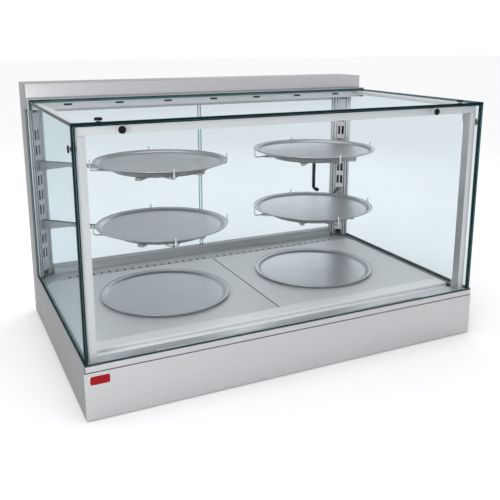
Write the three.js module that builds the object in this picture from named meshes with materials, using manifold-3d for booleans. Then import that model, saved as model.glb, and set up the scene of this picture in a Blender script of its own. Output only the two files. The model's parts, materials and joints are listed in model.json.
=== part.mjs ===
// Countertop heated display case: sheet steel base, glass box on a light tube frame, rear hood,
// two sliding rear doors, four cantilever pan racks and six round pans.
// Millimetres. +Z is up, +X is the long side, the customer's side is -Y and the doors are at +Y.
// The origin is on the counter under the middle of the case.
import * as THREE from 'three';
import { mergeVertices } from 'three/addons/utils/BufferGeometryUtils.js';
import Module from 'manifold-3d';

const wasm = await Module();
wasm.setup();

// Driving dimensions
const WIDTH = 1156;
const DEPTH = 756;
const HEIGHT = 743;
const INCH = 25.4;
const GAP = 0.3;                    // air between two pieces that touch
const SHEET = 2;
const HALF_W = WIDTH / 2;
const HALF_D = DEPTH / 2;

// Base
const PANEL_BOTTOM = 3;
const PANEL_TOP = 122;
const FOLD = 16;                    // folded edges of the base panels
const SILL_BOTTOM = PANEL_TOP + 2.2;
const SILL_TOP = 138.5;
const SILL_BACK = -HALF_D + 47.7;
const SIDE_SHEET = 3;
const SIDE_TOP = 143.3;
const SIDE_IN = HALF_W - SIDE_SHEET;
const TRAY_FLOOR = 5.3;
const FOOT_RADIUS = 22;
const FOOT_X = 520;
const FOOT_Y = 330;

// Deck
const DECK_TOP = 134.8;
const DECK_X = 561;
const DECK_FRONT = -243;
const DECK_BACK = 248;
const DECK_CORNER = 30;
const DECK_SKIRT = 12;
const STRIP_BACK = 318;
const AIR_SLOT_RADIUS = 3.3;
const AIR_SLOT_HALF = 4.7;           // from the slot's middle to the centre of its rounded end
const AIR_SLOT_Y = 263.6;
const AIR_SLOTS_PER_SIDE = 19;

// Glass box
const GLASS = 6;
const GLASS_OUT_X = HALF_W - 4;
const GLASS_OUT_Y = -HALF_D + 4;
const GLASS_BOTTOM = 139;
const TOP_GLASS_Z = 690.3;
const TOP_GLASS_BACK = 214;
const POST_W = 19;
const POST_D = 26;
const POST_OUT_X = 560.5;
const POST_FRONT = -360;
const TUBE_WALL = 1.6;
const RAIL_BOTTOM = 666;
const SIDE_RAIL_BOTTOM = 679;
const RAIL_TOP = TOP_GLASS_Z - GAP;
const CAP_RADIUS = 8.8;
const CAP_HEIGHT = 4;
const TOP_CAP_HEIGHT = 7;
const SHANK_RADIUS = 4.7;
const SPACER_RADIUS = 7;
const FRONT_FIX_X = [-464, 406];
const TOP_FIX_X = 509;
const TOP_FIX_Y = -350;
const SIDE_FIX_Y = -347;
const SIDE_FIX_Z = 638;
const FRONT_FIX_Z = 677;

// Rear corner columns, hood and doors
const COLUMN_LEG = 55;
const COLUMN_X = SIDE_IN - GAP;
const COLUMN_BACK = 332;
const SIDE_WING_Y = 294;
const HOOD_BOTTOM = 669.5;
const HOOD_FRONT = 241.4;
const HOOD_STEP = 701;
const HOOD_LIP = 211.5;
const RAIL_FACE_Y = 219;
const VENT_COUNT = 7;
const VENT_PITCH = 154.4;
const TRACK_FRONT = COLUMN_BACK + GAP;
const TRACK_BACK = 354;
const DOOR_GLASS = 5;
const DOOR_Y = [335, 344];          // front face of the inner (left) and the outer (right) door
const DOOR_BOTTOM = 143.8;
const DOOR_TOP = 660;
const DOOR_SPAN = [[-568, 1], [-7, 568]];   // the two doors overlap in the middle
const HANDLE_X = [-533, 475];
const HANDLE_Z = [307, 457];
const HANDLE_WIDTH = 12;
const HANDLE_BACK = HALF_D;

// Racks and pans
const PAN_RADIUS = 7.5 * INCH;
const PAN_HEIGHT = 10;
const PAN_X = 254;
const DECK_PAN_Y = 0;
const RACK_Y = 11.3;
const RACK_LEVELS = { middle: 339.5, upper: 525.5 };   // underside of the pan on each level
const DISH_HEIGHT = 18;
const SLOT_PITCH = 2 * INCH;
const SLOT_TALL = 30;
const SLOT_WIDE = 9;
const SLOT_SIDE = 7;
const HOOK_TALL = 20;
const STANDARD_THICK = 2.5;
const STANDARD_WIDE = 30;
const WIRE = 5;
const TAB_RADIUS = 197;
const TAB_TURN = -8;
const HEAD_REACH = 135;

// Inside the base
const BLOWER_Y = 60;
const BLOWER_RADIUS = 85;
const REAR_FACE = 374;
const BLADES = 14;

// --- Shapes -------------------------------------------------------------------------------

function block(x0, x1, y0, y1, z0, z1) {
  const box = new THREE.BoxGeometry(x1 - x0, y1 - y0, z1 - z0);
  return box.translate((x0 + x1) / 2, (y0 + y1) / 2, (z0 + z1) / 2);
}

function outline(points) {
  return new THREE.Shape(points.map(([a, b]) => new THREE.Vector2(a, b)));
}

function roundHole(a, b, radius) {
  const hole = new THREE.Path();
  hole.absarc(a, b, radius, 0, 2 * Math.PI, true);
  return hole;
}

function extrude(shape, length, curveSegments) {
  return new THREE.ExtrudeGeometry(shape, { depth: length, bevelEnabled: false, curveSegments });
}

// The outline's two coordinates are X and Y.
function prismZ(shape, z0, z1, curveSegments = 4) {
  return extrude(shape, z1 - z0, curveSegments).translate(0, 0, z0);
}

// The outline's two coordinates are Y and Z.
function prismX(shape, x0, x1, curveSegments = 4) {
  const turn = new THREE.Matrix4().makeBasis(
    new THREE.Vector3(0, 1, 0),
    new THREE.Vector3(0, 0, 1),
    new THREE.Vector3(1, 0, 0),
  );
  return extrude(shape, x1 - x0, curveSegments).applyMatrix4(turn).translate(x0, 0, 0);
}

// The outline's two coordinates are Z and X.
function prismY(shape, y0, y1, curveSegments = 4) {
  const turn = new THREE.Matrix4().makeBasis(
    new THREE.Vector3(0, 0, 1),
    new THREE.Vector3(1, 0, 0),
    new THREE.Vector3(0, 1, 0),
  );
  return extrude(shape, y1 - y0, curveSegments).applyMatrix4(turn).translate(0, y0, 0);
}

// A closed profile of radius and height, turned about Z.
function turned(profile, segments) {
  const points = profile.map(([r, h]) => new THREE.Vector2(r, h));
  return new THREE.LatheGeometry(points, segments).rotateX(Math.PI / 2);
}

function toSolid(geometry) {
  const bare = geometry.clone();
  bare.deleteAttribute('normal');
  bare.deleteAttribute('uv');
  const merged = mergeVertices(bare, 1e-3);
  return new wasm.Manifold(new wasm.Mesh({
    numProp: 3,
    vertProperties: Float32Array.from(merged.attributes.position.array),
    triVerts: Uint32Array.from(merged.index.array),
  }));
}

function fromSolid(solid) {
  const mesh = solid.getMesh();
  const geometry = new THREE.BufferGeometry();
  geometry.setAttribute('position', new THREE.BufferAttribute(mesh.vertProperties, 3));
  geometry.setIndex(new THREE.BufferAttribute(mesh.triVerts, 1));
  return geometry;
}

function join(...pieces) {
  return fromSolid(pieces.map(toSolid).reduce((whole, piece) => whole.add(piece)));
}

function cut(body, ...tools) {
  return fromSolid(tools.map(toSolid).reduce((rest, tool) => rest.subtract(tool), toSolid(body)));
}

// The same piece on the other side of the case, with its faces still pointing out.
function mirrored(geometry) {
  const flat = geometry.index ? geometry.toNonIndexed() : geometry.clone();
  flat.scale(-1, 1, 1);
  const position = flat.attributes.position;
  const second = new THREE.Vector3();
  const third = new THREE.Vector3();
  for (let i = 0; i < position.count; i += 3) {
    second.fromBufferAttribute(position, i + 1);
    third.fromBufferAttribute(position, i + 2);
    position.setXYZ(i + 1, third.x, third.y, third.z);
    position.setXYZ(i + 2, second.x, second.y, second.z);
  }
  return flat;
}

// A rectangular tube's section, from corner (a0, b0) to corner (a1, b1).
function tubeSection(a0, a1, b0, b1) {
  const section = outline([[a0, b0], [a1, b0], [a1, b1], [a0, b1]]);
  const w = TUBE_WALL;
  section.holes.push(outline([[a0 + w, b0 + w], [a0 + w, b1 - w], [a1 - w, b1 - w], [a1 - w, b0 + w]]));
  return section;
}

// --- Materials ----------------------------------------------------------------------------

const FINISHES = {
  satin_steel: [0xb9babb, 0.38, 0.85],
  deck_steel: [0xa9abad, 0.5, 0.7],
  silver_frame: [0xc9cacc, 0.42, 0.6],
  clear_glass: [0xdfeaec, 0.05, 0],
  black_plastic: [0x16171a, 0.45, 0],
  bright_wire: [0xd4d5d7, 0.25, 1],
  pan_aluminium: [0xc4c5c8, 0.35, 1],
  rubber: [0x202020, 0.9, 0],
  galvanised: [0x9ea2a5, 0.55, 0.8],
  lens: [0xf4f2e8, 0.6, 0],
};

const group = new THREE.Group();

function add(name, geometry, finish) {
  const [color, roughness, metalness] = FINISHES[finish];
  const mesh = new THREE.Mesh(geometry, new THREE.MeshStandardMaterial({ color, roughness, metalness }));
  mesh.name = name;
  group.add(mesh);
}

function addPair(name, rightGeometry, finish) {
  add(`${name}_left`, mirrored(rightGeometry), finish);
  add(`${name}_right`, rightGeometry, finish);
}

// --- Base ---------------------------------------------------------------------------------

function makeBaseTray() {
  const plate = block(-572, 572, -372, 370, TRAY_FLOOR, TRAY_FLOOR + SHEET);
  const intakes = [];
  for (let i = -3; i <= 3; i += 1) {
    intakes.push(block(i * 18 - 4, i * 18 + 4, BLOWER_Y - 50, BLOWER_Y + 50, 0, 20));
  }
  return cut(plate, ...intakes);
}

function makeFrontPanel() {
  const front = -HALF_D;
  const inner = SIDE_IN - GAP;
  const fold = (z0) => block(-inner, inner, front + SHEET / 2, front + FOLD, z0, z0 + SHEET);
  return join(
    block(-HALF_W, HALF_W, front, front + SHEET, PANEL_BOTTOM, PANEL_TOP),
    fold(PANEL_TOP - SHEET),
    fold(PANEL_BOTTOM),
  );
}

// One L-shaped sheet: the side of the base, and the outer skin of the rear column above it.
function makeSidePanel() {
  const front = -HALF_D + SHEET + GAP;
  const sheet = prismX(outline([
    [front, PANEL_BOTTOM], [HALF_D, PANEL_BOTTOM], [HALF_D, HOOD_BOTTOM - GAP],
    [SIDE_WING_Y, HOOD_BOTTOM - GAP], [SIDE_WING_Y, SIDE_TOP], [front, SIDE_TOP],
  ]), SIDE_IN, HALF_W);
  const glassShelf = block(DECK_X + 0.5, SIDE_IN + 0.2, SILL_BACK + 1, 283.5, 134, 136.5);
  return join(sheet, glassShelf);
}

function makeFrontSill() {
  const front = -HALF_D;
  const section = outline([
    [front, SILL_BOTTOM], [front + SHEET, SILL_BOTTOM], [front + SHEET, SILL_TOP - SHEET],
    [SILL_BACK - SHEET, SILL_TOP - SHEET], [SILL_BACK - SHEET, 110], [SILL_BACK, 110],
    [SILL_BACK, SILL_TOP], [front, SILL_TOP],
  ]);
  const glassStop = block(-398, 398, GLASS_OUT_Y + 10, GLASS_OUT_Y + 21, SILL_TOP - 0.2, SILL_TOP + 3);
  return join(prismX(section, -GLASS_OUT_X - 0.5, GLASS_OUT_X + 0.5), glassStop);
}

// The strip in front of the deck: a rounded nose, then a slope down to the sill.
function makeFrontLedge() {
  const back = DECK_FRONT - GAP;
  const nose = -289.5;
  const end = SILL_BACK + 0.8;
  return prismX(outline([
    [back, DECK_TOP], [nose + 2.5, DECK_TOP], [nose, DECK_TOP - 2.5], [nose, 125.5],
    [end, 114.5], [end, 112.4], [nose + SHEET, 123.9], [nose + SHEET, 131.5],
    [nose + 3.3, DECK_TOP - SHEET], [back, DECK_TOP - SHEET],
  ]), -DECK_X, DECK_X);
}

function makeDeck() {
  const inset = (d) => outline([
    [0.8 + d, DECK_FRONT + d], [DECK_X - d, DECK_FRONT + d],
    [DECK_X - d, DECK_BACK - DECK_CORNER], [DECK_X - DECK_CORNER, DECK_BACK - d],
    [0.8 + d, DECK_BACK - d],
  ]);
  const outer = prismZ(inset(0), DECK_TOP - DECK_SKIRT, DECK_TOP);
  const inner = prismZ(inset(SHEET), DECK_TOP - DECK_SKIRT - 1, DECK_TOP - 2.5);
  return cut(outer, inner);
}

// A short slot that runs front to back, with rounded ends.
function airSlot(x) {
  const slot = new THREE.Path();
  slot.absarc(x, AIR_SLOT_Y + AIR_SLOT_HALF, AIR_SLOT_RADIUS, 0, Math.PI, false);
  slot.absarc(x, AIR_SLOT_Y - AIR_SLOT_HALF, AIR_SLOT_RADIUS, Math.PI, 2 * Math.PI, false);
  slot.closePath();
  return slot;
}

// Slotted strip behind the deck, cut round the feet of the two columns, with the riser
// that carries the bottom door track.
function makeRearAirStrip() {
  const clear = COLUMN_X + COLUMN_BACK - COLUMN_LEG - 0.7;
  const step = DECK_CORNER;
  const half = [
    [DECK_X - step, DECK_BACK + 0.4], [DECK_X, DECK_BACK - step + 0.4],
    [DECK_X, clear - DECK_X], [clear - STRIP_BACK, STRIP_BACK],
  ];
  const other = half.map(([x, y]) => [-x, y]).reverse();
  const plate = outline([...half, ...other]);
  for (let k = 1; k <= AIR_SLOTS_PER_SIDE; k += 1) {
    plate.holes.push(airSlot(k * INCH), airSlot(-k * INCH));
  }
  const riser = prismX(outline([
    [STRIP_BACK - 0.2, 131], [COLUMN_BACK, 131], [COLUMN_BACK, 154],
    [COLUMN_BACK - 4, 154], [STRIP_BACK - 0.2, 141],
  ]), -519, 519);
  return join(prismZ(plate, 131, 133.8, 3), riser);
}

function makeRearPanel() {
  const sheet = block(-SIDE_IN + GAP, SIDE_IN - GAP, REAR_FACE - SHEET, REAR_FACE, PANEL_BOTTOM, 132);
  const shelf = block(-SIDE_IN + GAP, SIDE_IN - GAP, TRACK_BACK + 0.5, REAR_FACE, 130, 132);
  const cuts = [
    block(-525, -295, 360, 380, 36, 109),
    block(268, 492, 360, 380, 36, 104),
  ];
  for (let i = 0; i < 12; i += 1) {
    const x = -165 + i * 30;
    cuts.push(block(x - 4, x + 4, 360, 380, 35, 95));
  }
  return cut(join(sheet, shelf), ...cuts);
}

function makeFoot(x, y) {
  const height = TRAY_FLOOR - GAP;
  return turned([[0, 0], [FOOT_RADIUS - 2, 0], [FOOT_RADIUS, 1.5], [FOOT_RADIUS, height], [0, height]], 16)
    .translate(x, y, 0);
}

add('base_tray', makeBaseTray(), 'galvanised');
add('front_panel', makeFrontPanel(), 'satin_steel');
addPair('side_panel', makeSidePanel(), 'satin_steel');
add('rear_panel', makeRearPanel(), 'satin_steel');
add('front_sill', makeFrontSill(), 'satin_steel');
add('front_ledge', makeFrontLedge(), 'deck_steel');
addPair('deck', makeDeck(), 'deck_steel');
add('rear_air_strip', makeRearAirStrip(), 'deck_steel');
for (const [end, y] of [['front', -FOOT_Y], ['rear', FOOT_Y]]) {
  add(`foot_${end}_left`, makeFoot(-FOOT_X, y), 'rubber');
  add(`foot_${end}_right`, makeFoot(FOOT_X, y), 'rubber');
}

// --- Glass box on its tube frame ----------------------------------------------------------

const HOLE_RADIUS = SHANK_RADIUS + GAP;

function makeFrontGlass() {
  const pane = outline([
    [GLASS_BOTTOM, -GLASS_OUT_X], [TOP_GLASS_Z - GAP, -GLASS_OUT_X],
    [TOP_GLASS_Z - GAP, GLASS_OUT_X], [GLASS_BOTTOM, GLASS_OUT_X],
  ]);
  FRONT_FIX_X.forEach((x) => pane.holes.push(roundHole(FRONT_FIX_Z, x, HOLE_RADIUS)));
  return prismY(pane, GLASS_OUT_Y, GLASS_OUT_Y + GLASS, 5);
}

function makeTopGlass() {
  const pane = outline([
    [-GLASS_OUT_X, GLASS_OUT_Y], [GLASS_OUT_X, GLASS_OUT_Y],
    [GLASS_OUT_X, TOP_GLASS_BACK], [-GLASS_OUT_X, TOP_GLASS_BACK],
  ]);
  [-TOP_FIX_X, TOP_FIX_X].forEach((x) => pane.holes.push(roundHole(x, TOP_FIX_Y, HOLE_RADIUS)));
  return prismZ(pane, TOP_GLASS_Z, TOP_GLASS_Z + GLASS, 5);
}

function makeSideGlass() {
  const front = GLASS_OUT_Y + GLASS + GAP;
  const back = SIDE_WING_Y - GAP;
  const pane = outline([
    [front, GLASS_BOTTOM], [back, GLASS_BOTTOM], [back, HOOD_BOTTOM],
    [TOP_GLASS_BACK, HOOD_BOTTOM], [TOP_GLASS_BACK, TOP_GLASS_Z - GAP], [front, TOP_GLASS_Z - GAP],
  ]);
  pane.holes.push(roundHole(SIDE_FIX_Y, SIDE_FIX_Z, HOLE_RADIUS));
  return prismX(pane, GLASS_OUT_X - GLASS, GLASS_OUT_X, 5);
}

// A square tube with a stepped bracket on its back at the top and at the foot.
function makeFrontPost() {
  const section = tubeSection(POST_OUT_X - POST_W, POST_OUT_X, POST_FRONT, POST_FRONT + POST_D);
  const low = SILL_TOP + GAP;
  const high = RAIL_BOTTOM - GAP;
  const back = POST_FRONT + POST_D - 0.5;
  const [lugIn, lugOut] = [POST_OUT_X - POST_W + 3, POST_OUT_X - 3];
  const lug = (reach, z0, z1) => block(lugIn, lugOut, back, back + reach, z0, z1);
  return join(
    prismZ(section, low, high),
    lug(8.5, high - 26, high),
    block(lugIn, lugOut, POST_FRONT + POST_D + GAP, back + 8.5, high - 1, SIDE_RAIL_BOTTOM - GAP),
    lug(4.5, high - 38, high - 25.9),
    lug(8.5, low, low + 20),
    lug(4.5, low + 19.9, low + 32),
  );
}

function makeFrontRail() {
  const section = tubeSection(POST_FRONT, POST_FRONT + POST_D, RAIL_BOTTOM, RAIL_TOP);
  return prismX(section, -POST_OUT_X, POST_OUT_X);
}

function makeSideRail() {
  const [low, high] = [SIDE_RAIL_BOTTOM, RAIL_TOP];
  const [inner, outer] = [POST_OUT_X - POST_W, POST_OUT_X];
  const w = TUBE_WALL;
  const tube = block(inner, outer, POST_FRONT + POST_D + GAP, RAIL_FACE_Y - GAP, low, high);
  const bore = block(inner + w, outer - w, -HALF_D, HALF_D, low + w, high - w);
  return cut(tube, bore);
}

// Round cap, shank through the pane and a spacer behind it, with the cap's face at height 0.
function makeFixing(spacerLength, capHeight = CAP_HEIGHT) {
  const capBack = capHeight - GAP;
  const paneBack = capHeight + GLASS + GAP;
  const spacerBack = paneBack + spacerLength;
  const profile = [
    [0, 0], [CAP_RADIUS - 1.5, 0], [CAP_RADIUS, 1.2], [CAP_RADIUS, capBack], [SHANK_RADIUS, capBack],
  ];
  if (spacerLength > 0) {
    profile.push([SHANK_RADIUS, paneBack], [SPACER_RADIUS, paneBack]);
    profile.push([SPACER_RADIUS, spacerBack], [0, spacerBack]);
  } else {
    profile.push([SHANK_RADIUS, paneBack - GAP], [0, paneBack - GAP]);
  }
  return turned(profile, 12);
}

const paneToPost = GLASS_OUT_X - GLASS - POST_OUT_X - 2 * GAP;
const paneToRail = POST_FRONT - GLASS_OUT_Y - GLASS - 2 * GAP;
const topCapFace = TOP_GLASS_Z + GLASS + TOP_CAP_HEIGHT;
const topFix = makeFixing(0, TOP_CAP_HEIGHT).rotateX(Math.PI).translate(TOP_FIX_X, TOP_FIX_Y, topCapFace);

add('front_glass', makeFrontGlass(), 'clear_glass');
add('top_glass', makeTopGlass(), 'clear_glass');
addPair('side_glass', makeSideGlass(), 'clear_glass');
addPair('front_post', makeFrontPost(), 'silver_frame');
add('front_top_rail', makeFrontRail(), 'silver_frame');
addPair('side_top_rail', makeSideRail(), 'silver_frame');
['left', 'right'].forEach((side, i) => {
  const fixing = makeFixing(paneToRail).rotateX(-Math.PI / 2);
  add(`glass_fixing_front_${side}`, fixing.translate(FRONT_FIX_X[i], -HALF_D, FRONT_FIX_Z), 'black_plastic');
});
addPair('glass_fixing_top', topFix, 'black_plastic');
addPair(
  'glass_fixing_side',
  makeFixing(paneToPost).rotateY(-Math.PI / 2).translate(HALF_W, SIDE_FIX_Y, SIDE_FIX_Z),
  'black_plastic',
);

// --- Rear columns, hood and doors ---------------------------------------------------------

const DIAGONAL = Math.SQRT1_2;
const FACE_CENTRE = new THREE.Vector2(COLUMN_X - COLUMN_LEG / 2, COLUMN_BACK - COLUMN_LEG / 2);

// A point beside the middle of the column's slanting face: along it, and out of it.
function onFace(along, out) {
  return [
    FACE_CENTRE.x - DIAGONAL * (along + out),
    FACE_CENTRE.y + DIAGONAL * (along - out),
  ];
}

function makeColumn() {
  const channel = [onFace(-10, 0), onFace(-10, -8), onFace(10, -8), onFace(10, 0)];
  const inside = GLASS_OUT_X - GLASS - GAP;
  const section = outline([
    [inside, COLUMN_BACK - COLUMN_LEG + COLUMN_X - inside], ...channel, [COLUMN_X - COLUMN_LEG, COLUMN_BACK],
    [COLUMN_X, COLUMN_BACK], [COLUMN_X, SIDE_WING_Y + GAP], [inside, SIDE_WING_Y + GAP],
  ]);
  return prismZ(section, 136, HOOD_BOTTOM - 1);
}

// The lowest edge of the slot that a rack on this level hooks into.
const hookSlot = (level) => RACK_LEVELS[level] - DISH_HEIGHT - GAP - 8 - HOOK_TALL - GAP;

function makeStandard() {
  const bottom = 158;
  const top = 655;
  const half = STANDARD_WIDE / 2;
  const strip = block(-half, half, 0, STANDARD_THICK, bottom, top);
  const levels = Math.round((hookSlot('upper') - hookSlot('middle')) / SLOT_PITCH);
  const pitch = (hookSlot('upper') - hookSlot('middle')) / levels;
  const slots = [];
  for (let z = hookSlot('middle') - pitch * 2; z + SLOT_TALL < top - 8; z += pitch) {
    for (const side of [-SLOT_SIDE, SLOT_SIDE]) {
      slots.push(block(side - SLOT_WIDE / 2, side + SLOT_WIDE / 2, -1, STANDARD_THICK + 1, z, z + SLOT_TALL));
    }
  }
  const [x, y] = onFace(0, GAP + STANDARD_THICK);
  return cut(strip, ...slots).rotateZ(-Math.PI / 4).translate(x, y, 0);
}

function makeHood() {
  const endPlate = outline([
    [HOOD_LIP, HOOD_BOTTOM], [HALF_D, HOOD_BOTTOM], [HALF_D, HEIGHT],
    [HOOD_FRONT, HEIGHT], [HOOD_FRONT, HOOD_STEP], [HOOD_LIP, HOOD_STEP],
  ]);
  return join(
    block(-HALF_W, HALF_W, HOOD_FRONT, HALF_D, HEIGHT - SHEET, HEIGHT),
    block(-HALF_W, HALF_W, HOOD_FRONT, HOOD_FRONT + SHEET, HOOD_STEP - SHEET, HEIGHT),
    block(-HALF_W, HALF_W, HOOD_LIP, HOOD_FRONT + SHEET, HOOD_STEP - SHEET, HOOD_STEP),
    block(-HALF_W, HALF_W, HALF_D - SHEET, HALF_D, HOOD_BOTTOM, HEIGHT),
    block(-SIDE_IN - 0.1, SIDE_IN + 0.1, TRACK_BACK + 2, HALF_D, HOOD_BOTTOM, HOOD_BOTTOM + SHEET),
    prismX(endPlate, SIDE_IN, HALF_W),
    prismX(endPlate, -HALF_W, -SIDE_IN),
  );
}

// The vented rail behind the top pane, and the soffit that runs back from it to the doors.
function makeRearTopRail() {
  const floor = HOOD_BOTTOM + 0.5;
  const end = GLASS_OUT_X;
  const face = block(-end, end, RAIL_FACE_Y, RAIL_FACE_Y + SHEET, floor, TOP_GLASS_Z - GAP);
  const soffit = block(-end, end, RAIL_FACE_Y, TRACK_FRONT, floor, floor + SHEET);
  const cuts = [block(-480.5, 480.5, 243, 261, 660, 680)];
  for (let i = 0; i < VENT_COUNT; i += 1) {
    const x = (i - (VENT_COUNT - 1) / 2) * VENT_PITCH;
    cuts.push(block(x - 12.5, x + 12.5, RAIL_FACE_Y - 5, RAIL_FACE_Y + 5, 680, 685.5));
  }
  return cut(join(face, soffit), ...cuts);
}

function makeLightBar() {
  const floor = HOOD_BOTTOM + 0.5;
  return prismX(outline([
    [244, floor], [260, floor], [260, 678], [257, 686], [247, 686], [244, 678],
  ]), -480, 480);
}

// A door track with one groove for each door. Its open side, groove floor and spine are heights.
function makeTrack(open, floor, spine) {
  const section = [[TRACK_FRONT, spine], [TRACK_FRONT, open]];
  for (const y of DOOR_Y) {
    const front = y - 0.5;
    const back = y + DOOR_GLASS + 0.5;
    section.push([front, open], [front, floor], [back, floor], [back, open]);
  }
  section.push([TRACK_BACK, open], [TRACK_BACK, spine]);
  return prismX(outline(section), -GLASS_OUT_X, GLASS_OUT_X);
}

function makeHandle(paneBack, x) {
  const [low, high] = HANDLE_Z;
  const bar = 10;
  const r = 8;
  const section = new THREE.Shape();
  section.moveTo(paneBack + GAP, low);
  section.lineTo(HANDLE_BACK - r, low);
  section.absarc(HANDLE_BACK - r, low + r, r, -Math.PI / 2, 0, false);
  section.absarc(HANDLE_BACK - r, high - r, r, 0, Math.PI / 2, false);
  section.lineTo(paneBack + GAP, high);
  section.lineTo(paneBack + GAP, high - bar);
  section.lineTo(HANDLE_BACK - bar, high - bar);
  section.lineTo(HANDLE_BACK - bar, low + bar);
  section.lineTo(paneBack + GAP, low + bar);
  section.closePath();
  return prismX(section, x - HANDLE_WIDTH / 2, x + HANDLE_WIDTH / 2, 4);
}

addPair('rear_post', makeColumn(), 'silver_frame');
addPair('standard', makeStandard(), 'silver_frame');
add('hood_shell', makeHood(), 'satin_steel');
add('rear_top_rail', makeRearTopRail(), 'silver_frame');
add('light_bar', makeLightBar(), 'lens');
add('door_track_bottom', makeTrack(158, DOOR_BOTTOM - GAP, 134), 'silver_frame');
add('door_track_top', makeTrack(652, 666, 669), 'silver_frame');
['left', 'right'].forEach((side, i) => {
  const [start, end] = DOOR_SPAN[i];
  const glass = block(start, end, DOOR_Y[i], DOOR_Y[i] + DOOR_GLASS, DOOR_BOTTOM, DOOR_TOP);
  add(`door_${side}`, glass, 'clear_glass');
});
['left', 'right'].forEach((side, i) => {
  add(`door_handle_${side}`, makeHandle(DOOR_Y[i] + DOOR_GLASS, HANDLE_X[i]), 'black_plastic');
});

// --- Racks and pans -----------------------------------------------------------------------

// Built round the pan's centre with +X towards the column and the arm's top at height 0.
function makeRack(tabTurn) {
  const reach = Math.hypot(FACE_CENTRE.x - PAN_X, FACE_CENTRE.y - RACK_Y) - GAP - STANDARD_THICK - 0.5;
  const arm = prismX(outline([
    [-HEAD_REACH, -8], [310, -12], [reach - 2, -30], [reach - 2, 0], [-HEAD_REACH, 0],
  ]), -5, 5).rotateZ(-Math.PI / 2);
  const pieces = [
    arm,
    block(reach - 2.5, reach, -13, 13, -30, 0),
    block(-9, 9, -HEAD_REACH, HEAD_REACH, -8, 0.1),
    turned([[0, 0], [138, 0], [150, DISH_HEIGHT], [147.4, DISH_HEIGHT], [136.9, 2], [0, 2]], 28),
  ];
  for (const side of [-SLOT_SIDE, SLOT_SIDE]) {
    pieces.push(block(reach - 1, reach + 7, side - 1.5, side + 1.5, -8 - HOOK_TALL, -8));
    pieces.push(block(reach + 3.6, reach + 7, side - 1.5, side + 1.5, -11 - HOOK_TALL, -8));
  }
  for (let k = 0; k < 4; k += 1) {
    const angle = THREE.MathUtils.degToRad(tabTurn + 90 * k - 45);
    const tip = TAB_RADIUS + WIRE / 2;
    pieces.push(block(139, tip, -WIRE / 2, WIRE / 2, 4, 4 + WIRE).rotateZ(angle));
    pieces.push(block(tip - WIRE, tip, -WIRE / 2, WIRE / 2, 4, 37).rotateZ(angle));
  }
  return join(...pieces).rotateZ(Math.PI / 4);
}

function makePan() {
  const rim = PAN_RADIUS;
  return turned([
    [0, 0], [rim - 15, 0], [rim - 8, PAN_HEIGHT - 1.5], [rim, PAN_HEIGHT - 1.5], [rim, PAN_HEIGHT],
    [rim - 9.2, PAN_HEIGHT], [rim - 16.1, 1.5], [0, 1.5],
  ], 36);
}

for (const [level, panBottom] of Object.entries(RACK_LEVELS)) {
  // The tabs stand at the same bearings on both sides, so they aren't mirrored with the rest.
  const spot = [PAN_X, RACK_Y, panBottom - GAP - DISH_HEIGHT];
  add(`rack_${level}_left`, mirrored(makeRack(-TAB_TURN).translate(...spot)), 'bright_wire');
  add(`rack_${level}_right`, makeRack(TAB_TURN).translate(...spot), 'bright_wire');
  addPair(`pan_${level}`, makePan().translate(PAN_X, RACK_Y, panBottom), 'pan_aluminium');
}
addPair('pan_deck', makePan().translate(PAN_X, DECK_PAN_Y, DECK_TOP + GAP), 'pan_aluminium');

// --- Inside the base, and the controls on its back ----------------------------------------

function makeBlowerHousing() {
  const low = TRAY_FLOOR + SHEET + 2;
  const high = 82;
  const scroll = (grow, z0, z1) => {
    const round = new THREE.CylinderGeometry(BLOWER_RADIUS + grow, BLOWER_RADIUS + grow, z1 - z0, 28);
    return round.rotateX(Math.PI / 2).translate(0, BLOWER_Y, (z0 + z1) / 2);
  };
  const outlet = (grow, end, z0, z1) => block(10 - grow, BLOWER_RADIUS + grow, BLOWER_Y, end, z0, z1);
  const shell = join(scroll(0, low, high), outlet(0, 190, low, high));
  const inlet = new THREE.CylinderGeometry(50, 50, 20, 24).rotateX(Math.PI / 2).translate(0, BLOWER_Y, high);
  return cut(shell, scroll(-2, low + 2, high - 2), outlet(-2, 200, low + 2, high - 2), inlet);
}

function makeBlowerWheel() {
  const pieces = [
    turned([[0, 0], [62, 0], [62, 2.5], [14, 2.5], [14, 30], [0, 30]], 28),
    turned([[55, 47], [62, 47], [62, 50], [55, 50], [55, 47]], 28),
  ];
  for (let i = 0; i < BLADES; i += 1) {
    pieces.push(block(50, 60.5, -1, 1, 2, 48).rotateZ((2 * Math.PI * i) / BLADES));
  }
  return join(...pieces).translate(0, BLOWER_Y, 18);
}

// Sheathed element: one tube that runs back and forth across the air path behind the blower.
function makeHeatingElement() {
  const points = [];
  const runs = 4;
  for (let i = 0; i < runs; i += 1) {
    const y = 205 + i * 22;
    const ends = i % 2 === 0 ? [-90, 90] : [90, -90];
    points.push(new THREE.Vector3(ends[0], y, 60), new THREE.Vector3(ends[1], y, 60));
  }
  const path = new THREE.CurvePath();
  for (let i = 0; i + 1 < points.length; i += 1) {
    const [from, to] = [points[i], points[i + 1]];
    if (i % 2 === 0) {
      path.add(new THREE.LineCurve3(from, to));
    } else {
      const bulge = new THREE.Vector3(Math.sign(from.x) * 14, 0, 0);
      path.add(new THREE.CubicBezierCurve3(from, from.clone().add(bulge), to.clone().add(bulge), to));
    }
  }
  const section = new THREE.Shape().absarc(0, 0, 4, 0, 2 * Math.PI, false);
  return new THREE.ExtrudeGeometry(section, { steps: 48, curveSegments: 4, extrudePath: path });
}

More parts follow.
